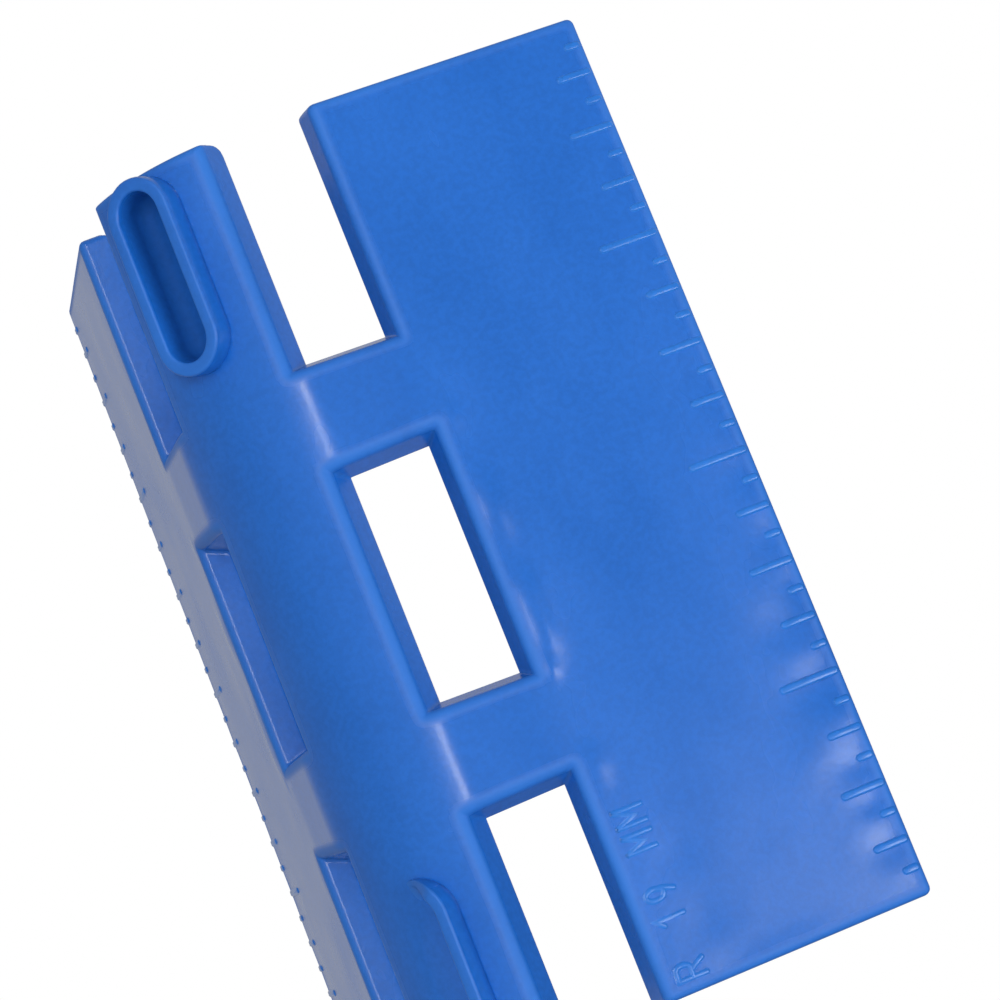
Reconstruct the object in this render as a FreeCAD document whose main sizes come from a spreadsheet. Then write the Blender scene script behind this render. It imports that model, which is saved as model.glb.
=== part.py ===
import FreeCAD, Part
import math
import os
import Sketcher

# A moulded plastic gauge for rounded wall corners. Two flat ruler wings stand at right angles
# and are joined by short bridges to a rounded spine that follows the corner. It is modelled
# standing like a roof: the spine on top along Y, both wings sloping down to the outer edges
# that it rests on. The whole moulding is shaped first, then divided into its named regions.
#
# The right wing has a frame of its own: x across the wing from the sharp corner where the two
# outer faces would meet, y out of its outer face, z along the corner from the upper end (+Y).

doc = FreeCAD.newDocument("corner_gauge")
Vector = FreeCAD.Vector

SIZES = [
    ("overall_length", 101.6),      # 4 in along the corner
    ("wall_thickness", 3.4),
    ("corner_radius", 19.05),       # 3/4 in, on the outer face
    ("wing_start", 24.8),           # sharp corner to the wing's inner edge
    ("wing_end", 55.8),             # sharp corner to the wing's outer edge
    ("spine_width", 15.88),         # 5/8 in
    ("window_length", 25.4),        # 1 in, on the inner face
    ("bridge_length", 12.7),        # 1/2 in, on the inner face
    ("side_lean", 0.9),             # how far a window's long wall leans over the thickness
    ("lower_facing_lean", 1.75),    # the same for an end wall that faces the lower end
    ("upper_facing_lean", 1.0),     # and for one that faces the upper end
    ("edge_round", 0.35),           # all round the outer face
    ("plan_round", 0.6),            # wing corners seen square on
    ("wing_end_round", 0.6),        # ends of the wings' inner faces
    ("spine_end_round", 1.2),       # ends of the spine's inner face
    ("margin", 2.0),                # how far a cutter runs past what it cuts
    ("collar_width", 8.4),
    ("collar_length", 21.6),
    ("collar_wall", 1.55),
    ("collar_height", 2.15),        # rim above the crown of the spine
    ("collar_inset", 0.4),          # from the end of the spine
    ("collar_round", 0.3),
    ("pocket_depth", 4.6),          # from the rim to the blind floor
    ("tick_pitch", 3.175),          # 1/8 in
    ("tick_width", 0.6),
    ("tick_height", 0.25),
    ("tick_eighth", 1.5),
    ("tick_quarter", 3.6),
    ("tick_half", 4.7),
    ("tick_inch", 6.5),
    ("mark_start", 100.0),          # upper end to the size mark's first character
    ("mark_foot", 29.9),            # sharp corner to the foot of its characters
    ("letter_height", 3.2),
    ("letter_width", 1.9),
    ("letter_pitch", 2.8),
    ("letter_stroke", 0.45),
    ("letter_relief", 0.2),
]

sheet = doc.addObject("Spreadsheet::Sheet", "sizes")
for row, (alias, value) in enumerate(SIZES, start=1):
    sheet.set(f"A{row}", alias)
    sheet.set(f"B{row}", str(value))
    sheet.setAlias(f"B{row}", alias)
doc.recompute()

APEX = "(sizes.wing_end + sizes.wall_thickness) / sqrt(2)"          # height of the sharp corner
CROWN = f"({APEX} - (sqrt(2) - 1) * sizes.corner_radius)"           # top of the spine
apex_height = (sheet.wing_end + sheet.wall_thickness) / math.sqrt(2)
corner_centre = apex_height - math.sqrt(2) * sheet.corner_radius
half_length = sheet.overall_length / 2
TOUCH = 1e-4                        # how near two places are when they count as the same
ARC_STEPS = 16                      # straight strokes in one bow of a character

WING_ROTATION = FreeCAD.Rotation(Vector(1, 0, -1), Vector(1, 0, 1), Vector(0, -1, 0), "XYZ")
IN_WING_FRAME = FreeCAD.Placement(Vector(0, half_length, apex_height), WING_ROTATION)


# Helpers

def bind(thing, **formulas):
    """Binds a thing's properties to formulas of the sheet's cells."""
    for name, formula in formulas.items():
        thing.setExpression(name, formula)
    return thing


def bind_place(thing, x="0", y="0", z="0"):
    """Binds where a thing stands to formulas of the sheet's cells."""
    thing.setExpression(".Placement.Base.x", x)
    thing.setExpression(".Placement.Base.y", y)
    thing.setExpression(".Placement.Base.z", z)
    return thing


def put_in_wing_frame(thing):
    """Turns a thing drawn in the right wing's frame into place."""
    thing.Placement = IN_WING_FRAME
    return bind_place(thing, y="sizes.overall_length / 2", z=APEX)


def sketch_on(body, role, name):
    """A sketch on one of the body's own origin planes."""
    sketch = body.newObject("Sketcher::SketchObject", name)
    plane = next(item for item in body.Origin.OriginFeatures if item.Role == role)
    sketch.AttachmentSupport = [(plane, "")]
    sketch.MapMode = "FlatFace"
    return sketch


def pad(body, sketch, length, symmetric=False):
    """Pads a sketch to a length given as a formula."""
    feature = body.newObject("PartDesign::Pad", sketch.Name + "_pad")
    feature.Profile = sketch
    if symmetric:
        feature.SideType = "Symmetric"
    bind(feature, Length=length)
    sketch.Visibility = False
    return feature


def combine(kind, name, base, tool):
    """A Part::Cut or Part::Common of two things."""
    result = doc.addObject("Part::" + kind, name)
    result.Base = base
    result.Tool = tool
    return result


def fuse(name, things, refine=True):
    result = doc.addObject("Part::MultiFuse", name)
    result.Shapes = things
    result.Refine = refine
    return result


def mirror(thing, name, normal=Vector(1, 0, 0)):
    """The same thing on the other side of the row's middle plane."""
    result = doc.addObject("Part::Mirroring", name)
    result.Source = thing
    result.Normal = normal
    return result


# The bent sheet: flat wing, rounded corner, flat wing, of one thickness all over

def bent_sheet():
    body = doc.addObject("PartDesign::Body", "bent_sheet")
    sketch = sketch_on(body, "XZ_Plane", "section")
    radius = sheet.corner_radius
    thickness = sheet.wall_thickness
    centre = Vector(0, corner_centre, 0)

    def on_right(across, out):
        """A point of the right wing's frame as a point of the sketch."""
        return Vector((across + out) / math.sqrt(2), apex_height + (out - across) / math.sqrt(2), 0)

    def on_left(across, out):
        point = on_right(across, out)
        return Vector(-point.x, point.y, 0)

    def corner_arc(arc_radius):
        circle = Part.Circle(centre, Vector(0, 0, 1), arc_radius)
        return Part.ArcOfCircle(circle, math.pi / 4, 3 * math.pi / 4)

    end = sheet.wing_end
    outer_right, outer_arc, outer_left, left_end, inner_left, inner_arc, inner_right, right_end = range(8)
    sketch.addGeometry([
        Part.LineSegment(on_right(end, 0), on_right(radius, 0)),
        corner_arc(radius),
        Part.LineSegment(on_left(radius, 0), on_left(end, 0)),
        Part.LineSegment(on_left(end, 0), on_left(end, -thickness)),
        Part.LineSegment(on_left(end, -thickness), on_left(radius, -thickness)),
        corner_arc(radius - thickness),
        Part.LineSegment(on_right(radius, -thickness), on_right(end, -thickness)),
        Part.LineSegment(on_right(end, -thickness), on_right(end, 0)),
    ])
    start, finish, middle = 1, 2, 3
    horizontal_axis, vertical_axis = -1, -2
    sketch.addConstraint([
        Sketcher.Constraint("Tangent", outer_right, finish, outer_arc, start),
        Sketcher.Constraint("Tangent", outer_arc, finish, outer_left, start),
        Sketcher.Constraint("Coincident", outer_left, finish, left_end, start),
        Sketcher.Constraint("Coincident", left_end, finish, inner_left, start),
        Sketcher.Constraint("Tangent", inner_left, finish, inner_arc, finish),
        Sketcher.Constraint("Tangent", inner_arc, start, inner_right, start),
        Sketcher.Constraint("Coincident", inner_right, finish, right_end, start),
        Sketcher.Constraint("Coincident", right_end, finish, outer_right, start),
        Sketcher.Constraint("Coincident", outer_arc, middle, inner_arc, middle),
        Sketcher.Constraint("PointOnObject", outer_arc, middle, vertical_axis),
        Sketcher.Constraint("PointOnObject", inner_right, finish, horizontal_axis),
        Sketcher.Constraint("PointOnObject", left_end, finish, horizontal_axis),
        Sketcher.Constraint("Perpendicular", outer_right, right_end),
        Sketcher.Constraint("Perpendicular", outer_left, left_end),
        Sketcher.Constraint("Parallel", outer_right, inner_right),
        Sketcher.Constraint("Equal", outer_right, outer_left),
        Sketcher.Constraint("Angle", outer_right, math.radians(135)),
    ])
    sized = [
        (Sketcher.Constraint("Radius", outer_arc, radius), "sizes.corner_radius"),
        (Sketcher.Constraint("Distance", right_end, thickness), "sizes.wall_thickness"),
        (Sketcher.Constraint("Distance", outer_right, end - radius), "sizes.wing_end - sizes.corner_radius"),
    ]
    for constraint, formula in sized:
        index = sketch.addConstraint(constraint)
        sketch.setExpression(f"Constraints[{index}]", formula)
    pad(body, sketch, "sizes.overall_length", symmetric=True)
    return body


# Windows and notches: their walls lean, so that each opening is wider on the outer face

def window_cutter(name, upper_end, upper_lean, lower_end, lower_lean):
    """Cuts the right side from one place along the corner to another, as they are on the inner face."""
    grow = "(sizes.wall_thickness + sizes.margin) / sizes.wall_thickness"
    shrink = "sizes.margin / sizes.wall_thickness"
    cutter = doc.addObject("Part::Wedge", name)
    bind(
        cutter,
        Ymin="-sizes.wall_thickness - sizes.margin",
        Ymax="sizes.margin",
        Xmin="sizes.spine_width / 2",
        X2min="sizes.spine_width / 2",
        Xmax=f"sizes.wing_start - sizes.side_lean - sizes.side_lean * {shrink}",
        X2max=f"sizes.wing_start - sizes.side_lean + sizes.side_lean * {grow}",
        Zmin=f"{upper_end} + {upper_lean} * {shrink}",
        Z2min=f"{upper_end} - {upper_lean} * {grow}",
        Zmax=f"{lower_end} - {lower_lean} * {shrink}",
        Z2max=f"{lower_end} + {lower_lean} * {grow}",
    )
    return put_in_wing_frame(cutter)


def window_cutters():
    first_bridge = "sizes.window_length"
    window = f"({first_bridge} + sizes.bridge_length)"
    second_bridge = f"({window} + sizes.window_length)"
    last_notch = f"({second_bridge} + sizes.bridge_length)"
    far_end = "sizes.overall_length + sizes.margin"
    to_lower, to_upper = "sizes.lower_facing_lean", "sizes.upper_facing_lean"
    cutters = [
        window_cutter("upper_notch_cutter", "-sizes.margin", "0", first_bridge, to_upper),
        window_cutter("window_cutter", window, to_lower, second_bridge, to_upper),
        window_cutter("lower_notch_cutter", last_notch, to_lower, far_end, "0"),
    ]
    return cutters + [mirror(cutter, "left_" + cutter.Name) for cutter in cutters]


def zone_box(name, length, width, height, x="0", y="0", z="0"):
    """A box centred on x and y, with its foot at z."""
    box = doc.addObject("Part::Box", name)
    bind(box, Length=length, Width=width, Height=height)
    return bind_place(box, f"{x} - ({length}) / 2", f"{y} - ({width}) / 2", z)


LONG = "sizes.overall_length + 2 * sizes.margin"

sheet_body = bent_sheet()
spine_zone = zone_box("spine_zone", "sizes.spine_width", LONG, APEX)
spine_strip = combine("Common", "spine_strip", sheet_body, spine_zone)
all_cutters = fuse("all_cutters", window_cutters(), refine=False)
windowed_sheet = combine("Cut", "windowed_sheet", sheet_body, all_cutters)
moulding = fuse("moulding", [windowed_sheet, spine_strip])
doc.recompute()


# Rounded edges: all round the outer face, the wings' corners, and the ends of the inner face

def wing_point(point):
    """A point of the moulding in the frame of the wing on its side."""
    return IN_WING_FRAME.inverse().multVec(Vector(abs(point.x), point.y, point.z))


def same(one, other):
    return abs(one - other) < TOUCH


def on_corner(point, radius):
    return same(math.hypot(point.x, point.z - corner_centre), radius)


def on_outer_face(point):
    local = wing_point(point)
    if local.x >= sheet.corner_radius:
        return same(local.y, 0)
    return on_corner(point, sheet.corner_radius)


def on_wing_inner_face(point):
    return same(wing_point(point).y, -sheet.wall_thickness)


def middle_of(edge):
    return edge.valueAt((edge.FirstParameter + edge.LastParameter) / 2)


def is_crease(shape, edge):
    """True where the two faces at an edge meet at an angle, not where one runs into the other."""
    middle = middle_of(edge)
    faces = shape.ancestorsOfType(edge, Part.Face)
    normals = [face.normalAt(*face.Surface.parameter(middle)) for face in faces]
    return normals[0].getAngle(normals[1]) > math.radians(5)


def rounding_of(shape, edge):
    """How far an edge of the moulding is rounded."""
    points = [vertex.Point for vertex in edge.Vertexes] + [middle_of(edge)]
    if all(same(abs(point.y), half_length) for point in points):
        if all(on_corner(point, sheet.corner_radius - sheet.wall_thickness) for point in points):
            return sheet.spine_end_round
        if all(on_wing_inner_face(point) for point in points):
            return sheet.wing_end_round
        if all(same(wing_point(point).x, sheet.wing_end) for point in points):
            return sheet.plan_round
    if all(on_outer_face(point) for point in points) and is_crease(shape, edge):
        return sheet.edge_round
    return 0


def round_edges(base):
    feature = doc.addObject("Part::Fillet", "rounded_moulding")
    feature.Base = base
    roundings = [rounding_of(base.Shape, edge) for edge in base.Shape.Edges]
    feature.Edges = [
        (number, radius, radius) for number, radius in enumerate(roundings, start=1) if radius > 0
    ]
    return feature


rounded_moulding = round_edges(moulding)


# Raised collars round two blind pockets, one near each end of the spine

def slot_sketch(body, name, width, length):
    """A long round-ended outline centred on the body's origin, along Y. Sizes are formulas."""
    sketch = sketch_on(body, "XY_Plane", name)
    radius = sheet.collar_width / 2
    reach = (sheet.collar_length - sheet.collar_width) / 2
    up = Vector(0, 0, 1)
    right_side, upper_arc, left_side, lower_arc = range(4)
    sketch.addGeometry([
        Part.LineSegment(Vector(radius, -reach, 0), Vector(radius, reach, 0)),
        Part.ArcOfCircle(Part.Circle(Vector(0, reach, 0), up, radius), 0, math.pi),
        Part.LineSegment(Vector(-radius, reach, 0), Vector(-radius, -reach, 0)),
        Part.ArcOfCircle(Part.Circle(Vector(0, -reach, 0), up, radius), math.pi, 2 * math.pi),
    ])
    start, finish, middle = 1, 2, 3
    origin, vertical_axis = -1, -2
    sketch.addConstraint([
        Sketcher.Constraint("Tangent", right_side, finish, upper_arc, start),
        Sketcher.Constraint("Tangent", upper_arc, finish, left_side, start),
        Sketcher.Constraint("Tangent", left_side, finish, lower_arc, start),
        Sketcher.Constraint("Tangent", lower_arc, finish, right_side, start),
        Sketcher.Constraint("PointOnObject", upper_arc, middle, vertical_axis),
        Sketcher.Constraint("Symmetric", upper_arc, middle, lower_arc, middle, origin, start),
        Sketcher.Constraint("Vertical", right_side),
    ])
    sized = [
        (Sketcher.Constraint("Radius", upper_arc, radius), f"({width}) / 2"),
        (Sketcher.Constraint("DistanceY", lower_arc, middle, upper_arc, middle, 2 * reach),
         f"({length}) - ({width})"),
    ]
    for constraint, formula in sized:
        index = sketch.addConstraint(constraint)
        sketch.setExpression(f"Constraints[{index}]", formula)
    return sketch


HOLE_WIDTH = "sizes.collar_width - 2 * sizes.collar_wall"
HOLE_LENGTH = "sizes.collar_length - 2 * sizes.collar_wall"
COLLAR_PLACE = "(sizes.overall_length - sizes.collar_length) / 2 - sizes.collar_inset"


def collar_and_pocket(end_name, side):
    """The raised rim at one end of the spine, and the tool that sinks its pocket."""
    body = doc.addObject("PartDesign::Body", end_name + "_rim")
    height = "sizes.collar_height + sizes.margin"
    outline = slot_sketch(body, end_name + "_rim_outline", "sizes.collar_width", "sizes.collar_length")
    pad(body, outline, height)
    hole = slot_sketch(body, end_name + "_hole_outline", HOLE_WIDTH, HOLE_LENGTH)
    pocket = body.newObject("PartDesign::Pocket", end_name + "_hole")
    pocket.Profile = hole
    pocket.Type = "Length"
    pocket.Reversed = True
    bind(pocket, Length=height)
    doc.recompute()
    rim_height = sheet.collar_height + sheet.margin
    top_edges = [
        f"Edge{number}"
        for number, edge in enumerate(pocket.Shape.Edges, start=1)
        if edge.BoundBox.ZMin > rim_height - TOUCH
    ]
    softened = body.newObject("PartDesign::Fillet", end_name + "_rim_round")
    softened.Base = (pocket, top_edges)
    bind(softened, Radius="sizes.collar_round")
    place = f"{side} * ({COLLAR_PLACE})"
    bind_place(body, y=place, z=f"{CROWN} - sizes.margin")
    collar = combine("Cut", end_name + "_slot_collar", body, sheet_body)
    tool = doc.addObject("PartDesign::Body", end_name + "_pocket_tool")
    floor = slot_sketch(tool, end_name + "_pocket_floor", HOLE_WIDTH, HOLE_LENGTH)
    pad(tool, floor, "sizes.pocket_depth")
    bind_place(tool, y=place, z=f"{CROWN} + sizes.collar_height - sizes.pocket_depth")
    return collar, tool


upper_collar, upper_pocket = collar_and_pocket("upper", 1)
lower_collar, lower_pocket = collar_and_pocket("lower", -1)


# Named regions of the moulding: each ends where the next begins

def wing_zone():
    """Everything beyond the leaning plane of the right wing's inner wall."""
    zone = doc.addObject("Part::Wedge", "right_wing_zone")
    inner = "sizes.wing_start - sizes.side_lean"
    slope = "sizes.side_lean / sizes.wall_thickness"
    bind(
        zone,
        Ymin="-sizes.wall_thickness - sizes.margin",
        Ymax="sizes.margin",
        Xmin=f"{inner} - {slope} * sizes.margin",
        X2min=f"{inner} + {slope} * (sizes.wall_thickness + sizes.margin)",
        Xmax="sizes.wing_end + sizes.margin",
        X2max="sizes.wing_end + sizes.margin",
        Zmin="-sizes.margin",
        Z2min="-sizes.margin",
        Zmax="sizes.overall_length + sizes.margin",
        Z2max="sizes.overall_length + sizes.margin",
    )
    return put_in_wing_frame(zone)


right_zone = wing_zone()
left_zone = mirror(right_zone, "left_wing_zone")
right_wing = combine("Common", "right_wing", rounded_moulding, right_zone)
left_wing = combine("Common", "left_wing", rounded_moulding, left_zone)
spine_blank = combine("Common", "spine_blank", rounded_moulding, spine_zone)
pockets = fuse("pockets", [upper_pocket, lower_pocket])
corner_spine = combine("Cut", "corner_spine", spine_blank, pockets)
all_zones = fuse("all_zones", [right_zone, left_zone, spine_zone], refine=False)
all_bridges = combine("Cut", "all_bridges", rounded_moulding, all_zones)


def bridge(side, end_name, across, along):
    """The bridge in one quarter of the plan."""
    name = f"{side}_{end_name}_bridge"
    width = f"({APEX})"
    length = "sizes.overall_length / 2"
    middle = (f"{across} * {width} / 2", f"{along} * {length} / 2")
    quarter = zone_box(name + "_zone", width, length, APEX, *middle)
    return combine("Common", name, all_bridges, quarter)


bridges = [
    bridge(side, end_name, across, along)
    for side, across in (("right", 1), ("left", -1))
    for end_name, along in (("upper", 1), ("lower", -1))
]


# Scale: a raised mark at every eighth of an inch along each wing's outer edge

def scale_mark(count):
    """One raised mark with a round inner end, drawn in the right wing's frame."""
    if count % 8 == 0:
        reach = "sizes.tick_inch"
    elif count % 4 == 0:
        reach = "sizes.tick_half"
    elif count % 2 == 0:
        reach = "sizes.tick_quarter"
    else:
        reach = "sizes.tick_eighth"
    round_centre = f"sizes.wing_end - {reach} + sizes.tick_width / 2"
    bar = doc.addObject("Part::Box", f"tick_bar_{count}")
    bind(
        bar,
        Length=f"{reach} - sizes.tick_width / 2 - sizes.edge_round",
        Width="sizes.tick_height",
        Height="sizes.tick_width",
    )
    bind_place(bar, x=round_centre, z=f"{count} * sizes.tick_pitch - sizes.tick_width / 2")
    tip = doc.addObject("Part::Cylinder", f"tick_tip_{count}")
    bind(tip, Radius="sizes.tick_width / 2", Height="sizes.tick_height")
    tip.Placement.Rotation = FreeCAD.Rotation(Vector(1, 0, 0), -90)
    bind_place(tip, x=round_centre, z=f"{count} * sizes.tick_pitch")
    return [bar, tip]


def scale_marks():
    last = round(sheet.overall_length / sheet.tick_pitch)
    marks = [shape for count in range(1, last) for shape in scale_mark(count)]
    return put_in_wing_frame(fuse("right_scale_ticks", marks))


right_ticks = scale_marks()
left_ticks = mirror(right_ticks, "left_scale_ticks")


# Size mark: the corner's radius in millimetres, in plain stroke characters. Strokes are given on a
# unit cell, x to the right and y up: a run of points, or an arc's centre, radius and two angles.

GLYPHS = {
    "R": [
        ("run", (0, 0), (0, 1)),
        ("run", (0, 1), (0.55, 1)),
        ("arc", (0.55, 0.74), 0.26, -90, 90),
        ("run", (0, 0.48), (0.55, 0.48)),
        ("run", (0.42, 0.48), (0.85, 0)),
    ],
    "1": [("run", (0.15, 0.75), (0.5, 1), (0.5, 0))],
    "9": [
        ("arc", (0.42, 0.68), 0.32, 0, 360),
        ("run", (0.74, 0.68), (0.68, 0.34), (0.45, 0)),
    ],
    "M": [("run", (0, 0), (0, 1), (0.45, 0.35), (0.9, 1), (0.9, 0))],
}
SIZE_MARK = f"R {int(sheet.corner_radius)} MM"


def letter_stroke(start, end):
    """A straight raised stroke with round ends between two points on the wing's face."""
    half, relief = sheet.letter_stroke / 2, sheet.letter_relief
    out = Vector(0, 1, 0)
    turn = FreeCAD.Rotation(end - start, out, Vector(0, 0, 0), "XYZ")
    bar = Part.makeBox((end - start).Length, relief, 2 * half, Vector(0, 0, -half))
    bar.Placement = FreeCAD.Placement(start, turn).multiply(bar.Placement)
    round_ends = [Part.makeCylinder(half, relief, point, out) for point in (start, end)]
    return bar.multiFuse(round_ends)


def bow(middle, radius, first, last):
    """Points along an arc between two angles in degrees."""
    turns = [math.radians(first + (last - first) * step / ARC_STEPS) for step in range(ARC_STEPS + 1)]
    return [(middle[0] + radius * math.cos(turn), middle[1] + radius * math.sin(turn)) for turn in turns]


def size_mark():
    """The mark reads towards the upper end, with the heads of its characters towards the spine."""
    strokes = []
    for cell, character in enumerate(SIZE_MARK):
        for kind, *data in GLYPHS.get(character, []):
            points = data if kind == "run" else bow(*data)
            places = [
                Vector(
                    sheet.mark_foot - y * sheet.letter_height,
                    0,
                    sheet.mark_start - cell * sheet.letter_pitch - x * sheet.letter_width,
                )
                for x, y in points
            ]
            strokes += [letter_stroke(*pair) for pair in zip(places, places[1:])]
    feature = doc.addObject("Part::Feature", "size_mark")
    feature.Shape = strokes[0].multiFuse(strokes[1:]).removeSplitter()
    return put_in_wing_frame(feature)


mark = size_mark()
doc.recompute()


# Every node is one sub-part, and its label names its file

NODES = [
    corner_spine, right_wing, left_wing, *bridges,
    upper_collar, lower_collar, right_ticks, left_ticks, mark,
]

failed = [thing.Label for thing in doc.Objects if {"Invalid", "Error"} & set(thing.State)]
if failed:
    raise RuntimeError(f"these objects failed: {failed}")
for node in NODES:
    if node.Shape.isNull() or not node.Shape.isValid() or not node.Shape.Solids:
        raise RuntimeError(f"{node.Label} has no sound solid")
os.makedirs("parts", exist_ok=True)
for node in NODES:
    node.Shape.exportStep(f"parts/{node.Label}.step")
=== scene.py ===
import math

import bpy
import numpy as np
from mathutils import Matrix, Vector


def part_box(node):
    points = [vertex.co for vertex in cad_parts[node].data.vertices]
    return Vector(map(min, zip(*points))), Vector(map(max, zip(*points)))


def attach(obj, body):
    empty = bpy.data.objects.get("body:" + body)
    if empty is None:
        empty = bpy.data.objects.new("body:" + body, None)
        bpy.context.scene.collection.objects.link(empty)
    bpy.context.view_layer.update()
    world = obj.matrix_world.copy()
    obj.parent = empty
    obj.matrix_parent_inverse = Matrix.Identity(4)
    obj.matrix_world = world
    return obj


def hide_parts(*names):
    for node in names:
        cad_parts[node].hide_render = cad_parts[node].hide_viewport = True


# The looks of a blue moulded corner gauge. The sheet of plastic is drawn as one fine grid, bent over
# the corner, and then cut into the spine, the wings and the bridges, so that the curved surface runs
# on without a break from one to the next.
#
# A place on the outer face is given by two lengths: "across", from the crown of the spine outwards
# along the surface, less than nothing on the left, and "along", from the upper end (+Y) down.
# A flat wing is also measured by x, the distance from the sharp corner where both wings would meet.
# "Depth" is how far a point lies under the outer face, along its normal.

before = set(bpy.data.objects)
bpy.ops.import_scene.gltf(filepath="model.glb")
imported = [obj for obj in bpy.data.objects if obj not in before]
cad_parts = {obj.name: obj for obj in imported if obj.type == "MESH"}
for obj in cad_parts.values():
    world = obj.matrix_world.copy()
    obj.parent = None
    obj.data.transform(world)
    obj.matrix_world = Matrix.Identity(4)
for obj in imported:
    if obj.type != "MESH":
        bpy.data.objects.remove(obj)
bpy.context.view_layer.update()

BODY = "root"
MM = 0.001
QUARTER = math.pi / 4

# Driving sizes, and those that the frame gives

_, spine_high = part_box("corner_spine")
wing_low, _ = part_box("right_wing")

THICKNESS = 3.4 * MM
RADIUS = 19.05 * MM
SIDE_LEAN = 0.9 * MM
LEFT_LEAN = 0.4 * MM
HALF_LENGTH = spine_high.y
LENGTH = 2 * HALF_LENGTH
CROWN = spine_high.z
ARC_CENTRE = CROWN - RADIUS
APEX = ARC_CENTRE + math.sqrt(2) * RADIUS
WING_END = APEX * math.sqrt(2) - THICKNESS
WING_START = wing_low.x * math.sqrt(2) + THICKNESS + SIDE_LEAN
SPINE_ANGLE = math.asin(spine_high.x / RADIUS)

BRIDGE_BEND = 0.22                  # share of a bridge's width in which it bends down from the spine
BRIDGE_SETTLE = 0.25                # and in which it settles into the wing's plane

# Ends of the bridges on the inner face, with how far each wall has leant by the outer face and how far
# this moulding's own walls lie from their nominal place, on the left side and on the right

BRIDGE_WALLS = {
    "first_top": (LENGTH / 4, 1.0 * MM, 0.46 * MM, 0.39 * MM),
    "first_bottom": (LENGTH * 3 / 8, -1.5 * MM, 0.9 * MM, 0.39 * MM),
    "second_top": (LENGTH * 5 / 8, 1.0 * MM, -0.8 * MM, 0.67 * MM),
    "second_bottom": (LENGTH * 3 / 4, -1.5 * MM, -0.64 * MM, 0.67 * MM),
}
FIRST_TOP, FIRST_BOTTOM, SECOND_TOP, SECOND_BOTTOM = (wall[0] for wall in BRIDGE_WALLS.values())
LEFT_SPREAD = math.radians(0.9)     # how far the left wing has opened at the lower end

EDGE_ROUND = 0.75 * MM
INNER_ROUND = 0.2 * MM
WING_END_ROUND = 0.9 * MM
SPINE_END_ROUND = 1.9 * MM
WING_CORNER_ROUND = 0.8 * MM
SPINE_CORNER_ROUND = 0.4 * MM
WALL_ROW = 0.12 * MM                # the first row of a wall below its rounded edge
END_LINE = 1.3 * MM                 # a grid line between the two end roundings
PITCH = 0.5 * MM

COLLAR_WIDTH = 8.4 * MM
COLLAR_WALL = 1.55 * MM
COLLAR_ROUND = 0.3 * MM
COLLAR_DRAFT = 0.05 * MM            # how far a collar's outer wall leans in
RIM_BULGE = 0.02 * MM               # how far its rim swells between the two rounded edges
POCKET_DRAFT = 0.1 * MM             # how far the pocket's wall leans in
POCKET_DEPTH = 4.6 * MM
POCKET_ROUND = 1.7 * MM
POCKET_FLOOR = 0.45 * MM
CUP_CLEARANCE = 0.12 * MM           # between the cup's foot and the hollow in the spine under it
SCOOP_DEPTH = 1.2 * MM              # of the lower collar's open pocket
SCOOP_EDGE = 3.4 * MM               # where the scoop begins, left of the middle plane
SCOOP_SLOPE = 6.2 * MM              # and how wide its slope to the right is
SCOOP_END = 2.5 * MM                # how far it keeps from the collar's ends
SCOOP_END_SLOPE = 6 * MM
RIM_TIP = math.radians(108)         # how far round its bends the lower rim runs
RIM_RAMP = math.radians(76)         # the angle over which each tip rises
RIM_STEPS = 40
RIM_FOOT = 0.15 * MM                # how far the rim reaches under the scoop's floor
RIM_BED = 0.02 * MM                 # how far its edges lie under the crown where it has not risen
TIP_SINK = 0.06 * MM                # and how much deeper its tips lie
TIP_WIDTH = 0.25                    # share of the rim's width at a tip
SKIRT = 2.4 * MM                    # how far the rim slopes away inwards at a tip
RIM_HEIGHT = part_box("upper_slot_collar")[1].z - CROWN
POCKET_BED = POCKET_DEPTH - RIM_HEIGHT

TICK_PITCH = 3.175 * MM             # an eighth of an inch
TICK_WIDTH = 0.7 * MM
TICK_HEIGHT = 0.14 * MM
TICK_LENGTHS = {8: 6.5 * MM, 4: 4.7 * MM, 2: 3.6 * MM, 1: 1.5 * MM}

MARK = "R 19 MM"
MARK_START = 100.0 * MM
MARK_FOOT = 29.9 * MM
LETTER_HEIGHT = 3.2 * MM
LETTER_WIDTH = 1.9 * MM
LETTER_PITCH = 2.8 * MM
LETTER_STROKE = 0.45 * MM
LETTER_RELIEF = 0.09 * MM

RIB_FOOT = 0.06 * MM                # how far a raised mark reaches under the surface
RIB_SPREAD = 0.1 * MM               # how far its soft side spreads at the surface
RIB_DRAW = 0.22 * MM                # and how far it draws in up to the top


# The bent sheet

def smooth(value):
    """0 below 0, 1 above 1, and a soft curve between."""
    value = np.clip(value, 0, 1)
    return value * value * (3 - 2 * value)


def near(distance, reach=5 * MM, full=1 * MM):
    """1 close to a wall, fading to 0 at reach."""
    return 1 - smooth((np.abs(distance) - full) / (reach - full))


def edge_drop(distance, radius):
    """How far a rounded edge has fallen away, by the distance from the wall."""
    left = np.clip(radius - distance, 0, radius)
    return radius - np.sqrt(radius**2 - left**2)


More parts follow.
